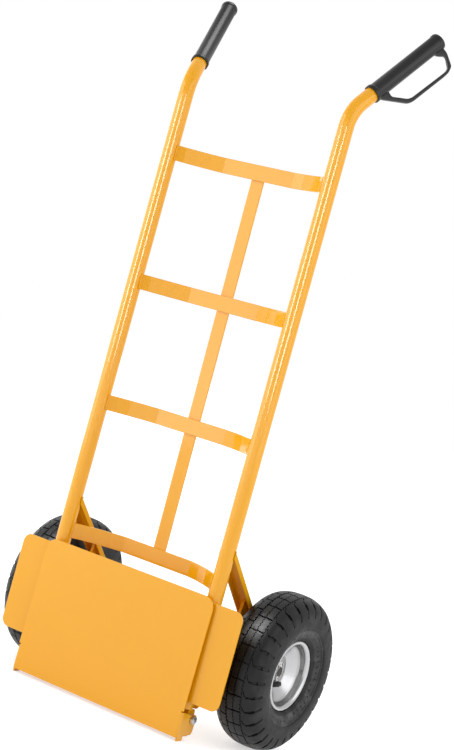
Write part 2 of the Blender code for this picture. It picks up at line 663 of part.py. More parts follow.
# Axle: a plain rod, drilled at both ends for the split pins, with spacers up to the hubs.
hub_end = TRACK_X + HUB_OUTER_REACH
axle_washer_start = hub_end + FIT_GAP
axle_washer_end = axle_washer_start + AXLE_WASHER_THICKNESS
pin_place = axle_washer_end + FIT_GAP + SPLIT_PIN_RADIUS
pin_hole_radius = SPLIT_PIN_RADIUS + FIT_GAP
axle_profile = [
    (-AXLE_END, 0.0), (-AXLE_END, AXLE_RADIUS - AXLE_CHAMFER), (AXLE_CHAMFER - AXLE_END, AXLE_RADIUS),
    (AXLE_END - AXLE_CHAMFER, AXLE_RADIUS), (AXLE_END, AXLE_RADIUS - AXLE_CHAMFER), (AXLE_END, 0.0)]
axle = place("axle", turned(axle_profile, RING_SIDES, axle_base), steel, parent=truck)
spacer_start = plate_side + FIT_GAP
spacer_end = TRACK_X - HUB_INNER_REACH - FIT_GAP
pin_reach = AXLE_RADIUS + CUT_OVERRUN
for side, hand in ((-1, "left"), (1, "right")):
    pin_base = axle_base + X_WAY * pin_place
    pin_hole = rod_profile(-pin_reach, pin_reach, pin_hole_radius)
    pin_drill = place("pin_drill_" + hand, turned(pin_hole, PIN_SIDES, pin_base, Z_WAY), steel, side)
    combine(axle, pin_drill, "DIFFERENCE")
    spacer = ring_profile(spacer_start, spacer_end, AXLE_CLEAR_RADIUS, AXLE_CLEAR_RADIUS + SPACER_WALL)
    place("axle_spacer_" + hand, turned(spacer, RING_SIDES, axle_base), zinc, side, truck)
    washer = ring_profile(axle_washer_start, axle_washer_end, AXLE_CLEAR_RADIUS, AXLE_WASHER_RADIUS)
    place("axle_washer_" + hand, turned(washer, RING_SIDES, axle_base), zinc, side, truck)
    eye_base = pin_base + Z_WAY * (AXLE_RADIUS + SPLIT_PIN_EYE + SPLIT_PIN_RADIUS)
    pin_path = []
    for step in range(BEND_STEPS):
        angle = math.tau * (step / BEND_STEPS - SPLIT_PIN_START_SHARE)
        pin_path.append(eye_base + Y_WAY * (SPLIT_PIN_EYE * math.cos(angle))
                        + Z_WAY * (SPLIT_PIN_EYE * math.sin(angle)))
    pin_path.append(pin_base + Z_WAY * AXLE_RADIUS)
    pin_path.append(pin_base - Z_WAY * SPLIT_PIN_LEG)
    pin_path.append(pin_base - Z_WAY * (SPLIT_PIN_LEG + SPLIT_PIN_BEND) + Y_WAY * SPLIT_PIN_BEND)
    pin_radii = [SPLIT_PIN_RADIUS] * len(pin_path)
    pin_shape = lofted(loops_along(pin_path, pin_radii, PIN_SIDES), False)
    place("split_pin_" + hand, pin_shape, zinc, side, truck)

# Grip: a moulded sleeve with a collar, a closed end and a slim hand guard below it.
bore_radius = SWAGED_RADIUS + FIT_GAP
mouth_radius = TUBE_RADIUS + FIT_GAP
mouth_depth = SWAGE_DEPTH + SWAGE_LENGTH
grip_profile = [
    (0.0, mouth_radius), (0.0, GRIP_COLLAR_RADIUS), (GRIP_COLLAR_LENGTH, GRIP_COLLAR_RADIUS),
    (GRIP_COLLAR_LENGTH + GRIP_COLLAR_RADIUS - GRIP_RADIUS, GRIP_RADIUS),
    (GRIP_LENGTH - GRIP_RIM_LENGTH - GRIP_RIM_RADIUS + GRIP_RADIUS, GRIP_RADIUS),
    (GRIP_LENGTH - GRIP_RIM_LENGTH, GRIP_RIM_RADIUS),
    (GRIP_LENGTH - GRIP_END_ROUND, GRIP_RIM_RADIUS), (GRIP_LENGTH, GRIP_RADIUS - GRIP_END_ROUND),
    (GRIP_LENGTH, 0.0), (GRIP_LENGTH - GRIP_END_WALL, 0.0), (GRIP_LENGTH - GRIP_END_WALL, bore_radius),
    (mouth_depth + FIT_GAP, bore_radius), (mouth_depth - SWAGE_LENGTH + FIT_GAP, mouth_radius)]
grip_base = HANDLE_TURN + HANDLE_WAY * GRIP_START
guard_side = GUARD_WAY.cross(HANDLE_WAY)
guard_outline = sketch(GUARD_OUTER_SHARES, GRIP_LENGTH, GUARD_REACH)
guard_outline += sketch(GUARD_INNER_SHARES, GRIP_LENGTH, GUARD_REACH)
for side, hand in ((-1, "left"), (1, "right")):
    grip_shape = turned(grip_profile, TUBE_SIDES, grip_base, HANDLE_WAY)
    grip = place("grip_" + hand, grip_shape, plastic, side, truck)
    guard_base = grip_base - guard_side * (GUARD_WIDTH / 2)
    guard_shape = extruded(guard_outline, guard_base, HANDLE_WAY, GUARD_WAY, guard_side * GUARD_WIDTH)
    guard = place("guard_form_" + hand, guard_shape, plastic, side)
    combine(grip, guard, "UNION")

# Wheel: a tyre and its inner tube on a split rim, whose two dished halves are fixed to a hub
# with a ball bearing in each end. Places along the axle are counted from the wheel's middle.
half_rim = RIM_WIDTH / 2
dish_start = RIM_SEAT_TURN - RIM_SHEET
centre_face = FIT_GAP / 2 + RIM_SHEET
dish_foot = RIM_DISH_INNER_RADIUS - RIM_SHEET / 2
rim_profile = [
    (half_rim, RIM_FLANGE_RADIUS), (half_rim - RIM_SHEET, RIM_FLANGE_RADIUS),
    (half_rim - RIM_FLANGE_INSET, RIM_SEAT_RADIUS), (dish_start, RIM_SEAT_RADIUS),
    (centre_face - RIM_SHEET, RIM_DISH_INNER_RADIUS), (centre_face - RIM_SHEET, HUB_RADIUS + FIT_GAP),
    (centre_face, HUB_RADIUS + FIT_GAP), (centre_face, dish_foot),
    (RIM_SEAT_TURN, RIM_SEAT_RADIUS - RIM_SHEET), (half_rim - RIM_SHEET, RIM_SEAT_RADIUS - RIM_SHEET),
    (half_rim, RIM_LIP_RADIUS)]
half_tyre = WHEEL_WIDTH / 2
bead_top = RIM_FLANGE_RADIUS + FIT_GAP * 2
bead_edge = half_rim - RIM_SHEET - FIT_GAP
bead_foot = RIM_SEAT_RADIUS + FIT_GAP
bead_toe = TYRE_BEAD_REACH - TYRE_BEAD_WIDTH
liner_top = WHEEL_RADIUS - TYRE_WALL
crown = sketch(TYRE_CROWN_SHARES, half_tyre, WHEEL_RADIUS - RIM_SEAT_RADIUS, RIM_SEAT_RADIUS)
liner = sketch(TYRE_LINER_SHARES, half_tyre, liner_top - RIM_SEAT_RADIUS, RIM_SEAT_RADIUS)
bead = [(half_rim, bead_top), (bead_edge, bead_top), (TYRE_BEAD_REACH, bead_foot + RIM_SHEET / 2),
        (TYRE_BEAD_REACH - RIM_SHEET / 2, bead_foot), (bead_toe, bead_foot)]
tyre_half = [(0.0, WHEEL_RADIUS)] + crown + bead + liner + [(0.0, liner_top)]
tyre_profile = tyre_half + [(-along, radius) for along, radius in tyre_half[-2:0:-1]]
tube_half = sketch(INNER_TUBE_SHARES, half_tyre, liner_top - RIM_SEAT_RADIUS, RIM_SEAT_RADIUS)
tube_profile = tube_half + [(-along, radius) for along, radius in tube_half[-2:0:-1]]
tube_middle = (tube_half[0][1] + tube_half[-1][1]) / 2
hub_bore = HUB_RADIUS - HUB_WALL
cone_run = RIM_SEAT_TURN - centre_face
cone_rise = RIM_SEAT_RADIUS - RIM_SHEET - dish_foot
cone_tilt = math.atan2(cone_run, cone_rise)
seat_along = centre_face + cone_run * (VALVE_SEAT_RADIUS - dish_foot) / cone_rise
valve_spoke = Vector((0.0, math.cos(VALVE_ANGLE), math.sin(VALVE_ANGLE)))
valve_way = X_WAY * math.cos(cone_tilt) - valve_spoke * math.sin(cone_tilt)
valve_seat = WHEEL_CENTRE + X_WAY * seat_along + valve_spoke * VALVE_SEAT_RADIUS
cap_start = VALVE_BASE_LENGTH + FIT_GAP
cap_end = cap_start + VALVE_CAP_LENGTH
cap_bore = VALVE_STEM_RADIUS + FIT_GAP
race = hub_bore - FIT_GAP
hub_profile = ring_profile(-HUB_INNER_REACH, HUB_OUTER_REACH, hub_bore, HUB_RADIUS)
outer_race = ring_profile(HUB_OUTER_REACH - BEARING_WIDTH, HUB_OUTER_REACH, BEARING_BORE_RADIUS, race)
inner_race = ring_profile(-HUB_INNER_REACH, BEARING_WIDTH - HUB_INNER_REACH, BEARING_BORE_RADIUS, race)
stem_profile = [
    (-VALVE_TAIL_LENGTH, 0.0), (-VALVE_TAIL_LENGTH, VALVE_BASE_RADIUS),
    (VALVE_BASE_LENGTH, VALVE_BASE_RADIUS), (VALVE_BASE_LENGTH, VALVE_STEM_RADIUS),
    (VALVE_LENGTH, VALVE_STEM_RADIUS), (VALVE_LENGTH, 0.0)]
cap_profile = [
    (cap_start, cap_bore), (cap_start, VALVE_CAP_RADIUS), (cap_end - VALVE_CAP_CHAMFER, VALVE_CAP_RADIUS),
    (cap_end, VALVE_CAP_RADIUS - VALVE_CAP_CHAMFER), (cap_end, 0.0), (cap_end - VALVE_CAP_TOP, 0.0),
    (cap_end - VALVE_CAP_TOP, cap_bore)]
cut_start = -VALVE_TAIL_LENGTH - CUT_OVERRUN
cut_radius = VALVE_BASE_RADIUS + FIT_GAP
cut_profile = rod_profile(cut_start, VALVE_LENGTH, cut_radius)
side_share = 1 - INNER_TUBE_SIDE_WALL / half_tyre
wall_share = 1 - INNER_TUBE_WALL / (WHEEL_RADIUS - tube_middle)
hollow_profile = [(along * side_share, tube_middle + (radius - tube_middle) * wall_share)
                  for along, radius in tube_profile]
bleed_profile = rod_profile(0.0, tube_middle, VALVE_STEM_RADIUS)
inner_rim_profile = [(-along, radius) for along, radius in rim_profile]
turned_pieces = (
    ("tyre_", tyre_profile, WHEEL_SIDES, rubber),
    ("inner_tube_", tube_profile, WHEEL_SIDES // 2, tube_rubber),
    ("rim_outer_", rim_profile, WHEEL_SIDES, chrome),
    ("rim_inner_", inner_rim_profile, WHEEL_SIDES, chrome),
    ("hub_", hub_profile, RING_SIDES, chrome),
    ("bearing_outer_", outer_race, RING_SIDES, steel),
    ("bearing_inner_", inner_race, RING_SIDES, steel))
valve_sides = PIN_SIDES + 2
for side, hand in ((-1, "left"), (1, "right")):
    centre = Vector((side * TRACK_X, AXLE_SETBACK, WHEEL_RADIUS))
    wheel = pivot("wheel_axis_" + hand, centre, truck)
    rolling = {}
    for piece_name, profile, sides, look in turned_pieces:
        piece_shape = turned(profile, sides, WHEEL_CENTRE)
        rolling[piece_name] = place(piece_name + hand, piece_shape, look, side, None, centre)
    stem_shape = turned(stem_profile, valve_sides, valve_seat, valve_way)
    rolling["valve_stem_"] = place("valve_stem_" + hand, stem_shape, tube_rubber, side, None, centre)
    cap_shape = turned(cap_profile, valve_sides, valve_seat, valve_way)
    rolling["valve_cap_"] = place("valve_cap_" + hand, cap_shape, cap_plastic, side, None, centre)
    for piece in rolling.values():
        piece.parent = wheel
        piece.location = Vector()
    cut_shape = turned(cut_profile, valve_sides, valve_seat, valve_way)
    rim_cut = place("valve_cut_" + hand, cut_shape, steel, side)
    combine(rolling["rim_outer_"], rim_cut, "DIFFERENCE")
    combine(rolling["rim_inner_"], rim_cut, "DIFFERENCE")
    hollow_shape = turned(hollow_profile, WHEEL_SIDES // 2, WHEEL_CENTRE)
    hollow_form = place("tube_hollow_" + hand, hollow_shape, steel, side)
    combine(rolling["inner_tube_"], hollow_form, "DIFFERENCE")
    bleed_shape = turned(bleed_profile, PIN_SIDES, WHEEL_CENTRE, valve_spoke)
    bleed = place("tube_bleed_" + hand, bleed_shape, steel, side)
    combine(rolling["inner_tube_"], bleed, "DIFFERENCE")
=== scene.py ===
"""Looks of the transport trolley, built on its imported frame. Lengths are in metres."""
import math
import random

import bmesh
import bpy
from mathutils import Matrix, Vector
from mathutils.geometry import delaunay_2d_cdt, intersect_point_quad_2d


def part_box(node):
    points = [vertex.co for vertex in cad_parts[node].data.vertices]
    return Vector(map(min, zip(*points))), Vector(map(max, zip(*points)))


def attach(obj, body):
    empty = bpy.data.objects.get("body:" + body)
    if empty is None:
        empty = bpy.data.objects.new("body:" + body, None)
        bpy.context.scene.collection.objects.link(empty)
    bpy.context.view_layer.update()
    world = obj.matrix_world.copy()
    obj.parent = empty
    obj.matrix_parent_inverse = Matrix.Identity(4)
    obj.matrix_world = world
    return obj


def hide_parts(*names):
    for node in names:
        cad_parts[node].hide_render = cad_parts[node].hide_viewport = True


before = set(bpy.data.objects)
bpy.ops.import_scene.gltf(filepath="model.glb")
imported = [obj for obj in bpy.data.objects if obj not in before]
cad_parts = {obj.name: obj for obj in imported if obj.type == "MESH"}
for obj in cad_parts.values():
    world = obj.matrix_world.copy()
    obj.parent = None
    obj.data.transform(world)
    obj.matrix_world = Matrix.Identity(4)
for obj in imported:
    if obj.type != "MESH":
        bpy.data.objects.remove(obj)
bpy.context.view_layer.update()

# The camera stands in front and to the right, a little above half the truck's height, and is rolled
# by 15 degrees. Its place was solved from the photograph with the floor at zero height.
turn, tip, roll = 0.5488, 0.0268, 0.2702
aim, distance = Vector((0.0667, 0.0, 0.5716)), 2.7873
focal_pixels, photo_pixels_high, film_wide = 1747.73, 750, 36.0
ahead = Vector((-math.sin(turn) * math.cos(tip), math.cos(turn) * math.cos(tip), -math.sin(tip)))
across = Vector((math.cos(turn), math.sin(turn), 0.0))
upward = across.cross(ahead)
eye = aim - ahead * distance
cam_x = across * math.cos(roll) + upward * math.sin(roll)
cam_y = upward * math.cos(roll) - across * math.sin(roll)
lens = bpy.data.cameras.new("camera")
lens.sensor_width = film_wide
lens.lens = film_wide * focal_pixels / photo_pixels_high
lens.clip_end = 100.0
camera = bpy.data.objects.new("camera", lens)
bpy.context.collection.objects.link(camera)
camera.matrix_world = Matrix(((cam_x.x, cam_y.x, -ahead.x, eye.x), (cam_x.y, cam_y.y, -ahead.y, eye.y),
                              (cam_x.z, cam_y.z, -ahead.z, eye.z), (0.0, 0.0, 0.0, 1.0)))
bpy.context.scene.camera = camera
bpy.context.scene.view_settings.view_transform = "Standard"


# Studio: a white floor and a white surround, dimmer in front, with large soft lamps left and right.
# The other lamps are there for the reflections in the photograph. Each of them lights only the pieces
# that show its reflection there.
class Wire:
    """One output in a shader graph. Sums and products of wires make Math nodes."""

    def __init__(self, tree, socket):
        self.tree, self.socket = tree, socket

    def node(self, kind, settings=None, out=0, **values):
        """Add a node: its settings, then its sockets by name or number, each a value or a wire."""
        made = self.tree.nodes.new(kind)
        for key, value in (settings or {}).items():
            setattr(made, key, value)
        for key, value in values.items():
            name = key.replace("_", " ")
            spot = made.inputs[int(key[1:])] if key[1:].isdigit() else made.inputs[name]
            if isinstance(value, Wire):
                self.tree.links.new(value.socket, spot)
            else:
                spot.default_value = value
        return Wire(self.tree, made.outputs[out])

    def maths(self, operation, first, second=0.0):
        """Add a Math node in this wire's graph, for one or two values or wires."""
        return self.node("ShaderNodeMath", {"operation": operation}, i0=first, i1=second)

    def __add__(self, other):
        return self.maths("ADD", self, other)

    def __sub__(self, other):
        return self.maths("SUBTRACT", self, other)

    def __mul__(self, other):
        return self.maths("MULTIPLY", self, other)

    def __rsub__(self, other):
        return self.maths("SUBTRACT", other, self)

    def __pow__(self, other):
        return self.maths("POWER", self, other)

    __radd__, __rmul__ = __add__, __mul__

    def step(self, low, high):
        """Rise smoothly from 0 at low to 1 at high."""
        return self.node("ShaderNodeMapRange", {"interpolation_type": "SMOOTHSTEP"}, Value=self,
                         From_Min=low, From_Max=high)

    def mix(self, first, second):
        """Blend two colours by this value."""
        return self.node("ShaderNodeMix", {"data_type": "RGBA"}, 2, i0=self, i6=first, i7=second)

    def noise(self, scale, detail=3.0):
        """Read noise at a scale in features per metre."""
        return self.node("ShaderNodeTexNoise", {}, Vector=self, Scale=scale, Detail=detail)


def grey(tone):
    """An opaque colour with the same red, green and blue."""
    return tone, tone, tone, 1.0


def finish_of(name, colour, rough, metal=0.0, **fixed):
    """Start a material, and return it, its shader node and the point in object space."""
    made = bpy.data.materials.new(name)
    made.use_nodes = True
    shader = made.node_tree.nodes["Principled BSDF"]
    shader.inputs["Base Color"].default_value = (*colour, 1.0)
    shader.inputs["Roughness"].default_value = rough
    shader.inputs["Metallic"].default_value = metal
    for key, value in fixed.items():
        shader.inputs[key.replace("_", " ")].default_value = value
    return made, shader, Wire(made.node_tree, None).node("ShaderNodeTexCoord", out="Object")


def feed(shader, **values):
    """Link varying values to the shader. Bump takes a height and its depth in metres."""
    tree = shader.id_data
    for key, wire in values.items():
        if key == "bump":
            height, depth = wire
            wire = height.node("ShaderNodeBump", {}, Height=height, Distance=depth, Strength=1.0)
            key = "Normal"
        tree.links.new(wire.socket, shader.inputs[key.replace("_", " ")])


def looked_at(wire, mirrored):
    """Where a surface is seen as white: by the camera, and by this share of mirrored rays."""
    rays = wire.node("ShaderNodeLightPath").socket.node.outputs
    camera_ray, glossy, through = (Wire(wire.tree, rays[key]) for key in
                                   ("Is Camera Ray", "Is Glossy Ray", "Is Transmission Ray"))
    return camera_ray + glossy.maths("MAXIMUM", glossy, through) * mirrored


world = bpy.data.worlds.new("studio")
bpy.context.scene.world = world
world.use_nodes = True
surround = world.node_tree.nodes["Background"]
surround.inputs["Color"].default_value = grey(1.0)
sky = Wire(world.node_tree, surround.inputs["Strength"])
facing = sky.node("ShaderNodeSeparateXYZ", {}, 1, Vector=sky.node("ShaderNodeTexCoord"))
behind = facing.step(-0.25, 0.35)
studio_light = behind * 0.34 + 0.66
seen = looked_at(sky, behind)
world.node_tree.links.new((studio_light + seen * (1.0 - studio_light)).socket, sky.socket)

floor_half, floor_drop, floor_squares = 14.0, 0.0005, 8
slab = bmesh.new()
bmesh.ops.create_grid(slab, x_segments=floor_squares, y_segments=floor_squares, size=floor_half)
floor_mesh = bpy.data.meshes.new("floor")
slab.to_mesh(floor_mesh)
slab.free()
floor = bpy.data.objects.new("floor", floor_mesh)
bpy.context.collection.objects.link(floor)
floor.location.z = -floor_drop
floor_look, floor_shader, floor_at = finish_of("floor_white", (0.8, 0.8, 0.8), 0.9)
feed(floor_shader, Emission_Color=looked_at(floor_at, 1.0).mix(grey(0.0), grey(0.55)))
floor_shader.inputs["Emission Strength"].default_value = 1.0
floor.data.materials.append(floor_look)

lit_middle = Vector((0.0, 0.0, 0.65))


def lamp(name, bearing, away, height, wide, tall, glow, diffuse=True):
    """Add a soft rectangular lamp: bearing from the load side, distance, height, size, radiance."""
    light = bpy.data.lights.new(name, "AREA")
    light.shape = "RECTANGLE"
    light.size, light.size_y, light.energy = wide, tall, glow * math.pi * wide * tall
    made = bpy.data.objects.new(name, light)
    bpy.context.collection.objects.link(made)
    angle = math.radians(bearing)
    made.location = (math.sin(angle) * away, -math.cos(angle) * away, height)
    made.rotation_euler = (lit_middle - made.location).to_track_quat("-Z", "Y").to_euler()
    made.visible_diffuse = diffuse
    return made


def only_on(name, *lamps):
    """Keep the light of some lamps to the pieces that are linked to the collection returned."""
    lit = bpy.data.collections.new(name)
    for made in lamps:
        made.light_linking.receiver_collection = lit
    return lit


lamp("soft_left", -47.0, 3.2, 1.35, 2.4, 2.6, 2.6)
lamp("soft_right", 84.0, 3.2, 1.6, 3.2, 3.0, 1.3)
lamp("fill_left", -100.0, 3.3, 1.2, 3.8, 2.2, 1.1)
lit_front = only_on("lit_front", lamp("veil_front", 8.0, 3.5, 0.95, 3.0, 2.4, 1.0, diffuse=False))
lit_tubes = only_on("lit_tubes", lamp("line_left", -25.0, 3.0, 0.93, 0.85, 0.95, 15.0, diffuse=False),
                    lamp("line_right", 41.0, 3.0, 0.93, 0.85, 0.95, 15.0, diffuse=False))
lit_tyres = only_on("lit_tyres", lamp("tyre_sheen", -29.0, 1.7, 3.0, 1.5, 1.2, 26.0, diffuse=False))
lit_grip = only_on("lit_grip", lamp("grip_sheen", 131.0, 0.3, 3.3, 1.4, 1.4, 6.0, diffuse=False))


# Powder coat: a warm orange-yellow polyester, baked on. It has a faint orange-peel skin, a few dull
# rubbed patches and specks of dust. Braces, struts and axle plates get a darker copy with less shine:
# painted shade, for parts that sit in shade.
def powder_coat(name, colour, shine, rough):
    """Make the paint in one colour, with its shine and its roughness where it is untouched."""
    paint, shader, at = finish_of(name, colour, rough, Specular_IOR_Level=shine)
    dust_colour, peel_deep = (0.62, 0.5, 0.3, 1.0), 0.0000003
    cloud = at.noise(7.0, 2.0)
    rubbed = at.noise(34.0, 4.0).step(0.60, 0.74)
    specks = at.noise(2600.0, 0.0).step(0.79, 0.84) * at.noise(60.0, 1.0).step(0.5, 0.62)
    tone = cloud.mix((*[0.98 * part for part in colour], 1.0), (*[1.02 * part for part in colour], 1.0))
    feed(shader, Base_Color=(specks * 0.25).mix(tone, dust_colour),
         Roughness=rough + rubbed * 0.06 + cloud * 0.03,
         bump=(at.noise(700.0, 1.0) + at.noise(190.0, 1.0), peel_deep))
    return paint


def coat(look, *starts):
    """Give the frame's own nodes whose names start so a material, and return them."""
    coated = [node for name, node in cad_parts.items() if name.startswith(starts)]
    for node in coated:
        node.data.materials.clear()
        node.data.materials.append(look)
    return coated


paint = powder_coat("powder_coat", (0.86, 0.390, 0.005), 0.5, 0.10)
# A darker, less shiny copy of the paint for the braces, struts and axle plates: painted shade.
shaded_paint = powder_coat("powder_coat_shaded", (0.76, 0.36, 0.001), 0.07, 0.30)
coat(paint, "wing_plate", "hinge_beam", "hinge_block", "toe_plate")
coat(shaded_paint, "brace", "strut", "axle_plate")
for node in coat(paint, "crossbar", "centre_strip"):
    lit_front.objects.link(node)

# Side tubes: round steel tube, bent once at the top for the handles and drawn down under the
# grips. They carry the paint, and their feet are open below.
up = Vector((0.0, 0.0, 1.0))
hands = ((-1, "left"), (1, "right"))
tube_x, tube_foot, tube_middle, tube_r, tube_wall = 0.1555, 0.0503, 0.5, 0.0127, 0.0018
bend_z, bend_r, bend_steps, tube_sides = 1.0205, 0.070, 24, 48
lean, splay = math.radians(41.1), math.radians(21.0)
neck_start, neck_end, neck_r, handle_end = 0.0514, 0.0554, 0.0112, 0.2
handle = Vector((math.sin(lean) * math.sin(splay), math.sin(lean) * math.cos(splay), math.cos(lean)))
level = (handle - up * handle.z).normalized()
bend = Vector((tube_x, 0.0, bend_z))
bend_start = bend - up * (bend_r * math.tan(lean / 2))


def piece(name, shape, look, body, replaced=(), sharp=35.0):
    """Turn a built shape into a piece of the object; edges over the sharp angle stay crisp."""
    bmesh.ops.recalc_face_normals(shape, faces=shape.faces)
    mesh = bpy.data.meshes.new(name)
    shape.to_mesh(mesh)
    shape.free()
    mesh.shade_smooth()
    mesh.set_sharp_from_angle(angle=math.radians(sharp))
    made = bpy.data.objects.new(name, mesh)
    bpy.context.collection.objects.link(made)
    mesh.materials.append(look)
    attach(made, body)
    if replaced:
        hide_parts(*replaced)
    return made


def circle(way, sides):
    """Unit spokes round a way, evenly spaced."""
    aside = way.orthogonal().normalized()
    third = way.cross(aside)
    angles = [math.tau * k / sides for k in range(sides)]
    return [aside * math.cos(angle) + third * math.sin(angle) for angle in angles]


def bridge(shape, one, two):
    """Join two loops of vertices with a band of faces; a loop that is one vertex gives a fan."""
    for k in range(len(one)):
        shape.faces.new(list(dict.fromkeys((one[k - 1], one[k], two[k], two[k - 1]))))


def swept(shape, spots, radii, sides, caps=True):
    """Sweep a circle along points; rings stay square to the path."""
    way = (spots[1] - spots[0]).normalized()
    spokes = circle(way, sides)
    loops = []
    for index, spot in enumerate(spots):
        onward = (spots[index + 1] - spot).normalized() if index + 1 < len(spots) else way
        bisector = (way + onward).normalized()
        spokes = [s - way * (s.dot(bisector) / way.dot(bisector)) for s in spokes]
        loops.append([shape.verts.new(spot + s * radii[index]) for s in spokes])
        way = onward
    for one, two in zip(loops, loops[1:]):
        bridge(shape, one, two)
    if caps:
        shape.faces.new(loops[0])
        shape.faces.new(loops[-1])
    return loops


for side, hand in hands:
    line = [Vector((tube_x, 0.0, tube_foot)), Vector((tube_x, 0.0, tube_middle))]
    for step in range(bend_steps + 1):
        angle = lean * step / bend_steps
        rise, run = bend_r * math.sin(angle), bend_r * (1 - math.cos(angle))
        line.append(bend_start + up * rise + level * run)
    line += [bend + handle * far for far in (neck_start, neck_end, handle_end)]
    line = [Vector((side * spot.x, spot.y, spot.z)) for spot in line]
    radii = [tube_r] * (len(line) - 2) + [neck_r] * 2
    tube = bmesh.new()
    outside = swept(tube, line, radii, tube_sides, caps=False)
    inside = swept(tube, line, [radius - tube_wall for radius in radii], tube_sides, caps=False)
    bridge(tube, outside[0], inside[0])
    bridge(tube, outside[-1], inside[-1])
    made = piece("tube_" + hand, tube, paint, "frame", ["side_tube_" + hand])
    lit_tubes.objects.link(made)
    lit_front.objects.link(made)

# Weld beads: short runs of weld where the crossbars, wing plates and braces meet the tubes. They are
# rippled, a little uneven, and lie under the same coat of paint.
chance = random.Random(7)
ripple_long, wobble, bead_sides = 0.0009, 0.00012, 10
bar_weld_r, bar_weld_ys, bar_weld_in, bar_weld_short = 0.0015, (-0.0022, 0.0042), 0.0006, 0.001
wing_weld_r, wing_weld_y, wing_weld_half = 0.0023, -0.0128, 0.009
wing_weld_xs, wing_weld_zs = (0.1462, 0.1648), (0.082, 0.118, 0.168, 0.204)
brace_weld_r, brace_weld_low, brace_weld_high = 0.0016, (0.0068, 0.296), (0.0090, 0.309)
brace_weld_xs = ((0.1445, 0.1462), (0.1665, 0.1648))


def bead(shape, start, end, thick):
    """Lay a rippled bead of weld between two points."""
    start, end = Vector(start), Vector(end)
    count = max(6, int((end - start).length / ripple_long))
    strays = [Vector((chance.uniform(-1, 1), chance.uniform(-1, 1), 0.0)) for i in range(count + 1)]
    spots = [start.lerp(end, i / count) + stray * wobble for i, stray in enumerate(strays)]
    ripples = [0.92 + 0.10 * math.sin(i * 2.1) + chance.uniform(-0.04, 0.04) for i in range(count + 1)]
    radii = [thick * ripple for ripple in ripples]
    radii[0] = radii[-1] = thick * 0.55
    swept(shape, spots, radii, bead_sides)


welds = bmesh.new()
for side in (-1, 1):
    for name in ("crossbar_top", "crossbar_upper", "crossbar_lower", "crossbar_bottom"):
        low, high = (Vector(corner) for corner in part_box(name))
        edge = side * (high.x - bar_weld_in)
        for y in bar_weld_ys:
            bead(welds, (edge, y, low.z + bar_weld_short), (edge, y, high.z - bar_weld_short), bar_weld_r)
    for z in wing_weld_zs:
        low_z, high_z = z - wing_weld_half, z + wing_weld_half
        for x in wing_weld_xs:
            bead(welds, (side * x, wing_weld_y, low_z), (side * x, wing_weld_y, high_z), wing_weld_r)
    for low_x, high_x in brace_weld_xs:
        bead(welds, (side * low_x, *brace_weld_low), (side * high_x, *brace_weld_high), brace_weld_r)
piece("weld_beads", welds, paint, "frame", ())

# Grips: a soft black plastic sleeve, moulded in one with a slim loop that guards the knuckles.
# The sleeve has a collar at its foot and a raised rim at its end, and all of it is finely grained.
sideways = Vector((1.0, 0.0, 0.0))
grip_end, grip_long, grip_sides = 0.2099, 0.1605, 64
guard_high, guard_thick, guard_turn, guard_sides = 0.0505, 0.0075, math.radians(-22.0), 20
grip_foot = bend + handle * (grip_end - grip_long)
guard_way = Vector((math.cos(lean) * math.sin(splay), math.cos(lean) * math.cos(splay), -math.sin(lean)))
guard_way.rotate(Matrix.Rotation(guard_turn, 3, handle))
guard_side = guard_way.cross(handle)
sleeve = [(0.0015, 0.0128), (0.0, 0.0134), (0.0, 0.0148), (0.0006, 0.0152), (0.006, 0.0152),
          (0.0068, 0.0149), (0.0076, 0.0139), (0.009, 0.0136), (0.08, 0.0135), (0.1515, 0.01352),
          (0.1527, 0.0138), (0.1537, 0.0145), (0.1545, 0.0146), (0.1578, 0.0146), (0.1592, 0.0141),
          (0.1601, 0.0131), (grip_long, 0.0115), (grip_long, 0.0)]
guard_outer_shares = [(0.04, 0.25), (0.068, 0.34), (0.278, 0.923), (0.33, 0.975), (0.80, 0.99),
                      (0.872, 0.97), (0.94, 0.87), (0.972, 0.57), (0.981, 0.49), (0.99, 0.40),
                      (0.985, 0.25)]
guard_inner_shares = [(0.174, 0.25), (0.166, 0.434), (0.304, 0.806), (0.36, 0.855), (0.80, 0.886),
                      (0.86, 0.885), (0.90, 0.850), (0.95, 0.554), (0.944, 0.485), (0.888, 0.366),
                      (0.855, 0.25)]
plastic, plastic_shader, at = finish_of("grip_plastic", (0.016, 0.016, 0.017), 0.36,
                                        Specular_IOR_Level=0.36)
grain = at.node("ShaderNodeTexVoronoi", {"feature": "DISTANCE_TO_EDGE"}, Vector=at, Scale=900.0)
feed(plastic_shader,
     Base_Color=at.noise(40.0, 3.0).mix((0.008, 0.008, 0.009, 1.0), (0.014, 0.014, 0.015, 1.0)),
     Roughness=0.26 + at.noise(300.0, 3.0) * 0.10,
     bump=(grain.step(0.0, 0.3) + at.noise(2500.0, 1.0), 0.000002))


def spun(shape, profile, sides, centre, way=sideways, closed=False):
    """Turn a profile of places along and radii about an axis; closed joins its ends too."""
    spokes = circle(way, sides)
    loops = []
    for along, radius in profile:
        spot = centre + way * along
        if radius:
            loops.append([shape.verts.new(spot + spoke * radius) for spoke in spokes])
        else:
            loops.append([shape.verts.new(spot)] * sides)
    for one, two in zip(loops, loops[1:] + loops[:closed]):
        bridge(shape, one, two)
    return loops


def rounded_way(shares, cut=0.0035, steps=4):
    """Round each corner of an open outline, given in shares of the grip's length and guard's height."""
    points = [Vector((a * grip_long, b * guard_high)) for a, b in shares]
    way = [points[0]]
    for before, here, after in zip(points, points[1:], points[2:]):
        near, far = before - here, after - here
        start = here + near.normalized() * min(cut, near.length * 0.45)
        end = here + far.normalized() * min(cut, far.length * 0.45)
        for step in range(steps + 1):
            share = step / steps
            way.append(start.lerp(here, share).lerp(here.lerp(end, share), share))
    return way + [points[-1]]


def squared(part):
    """Push a cosine or sine outwards, so that a ring of them is a square with round corners."""
    return math.copysign(abs(part) ** 0.4, part)


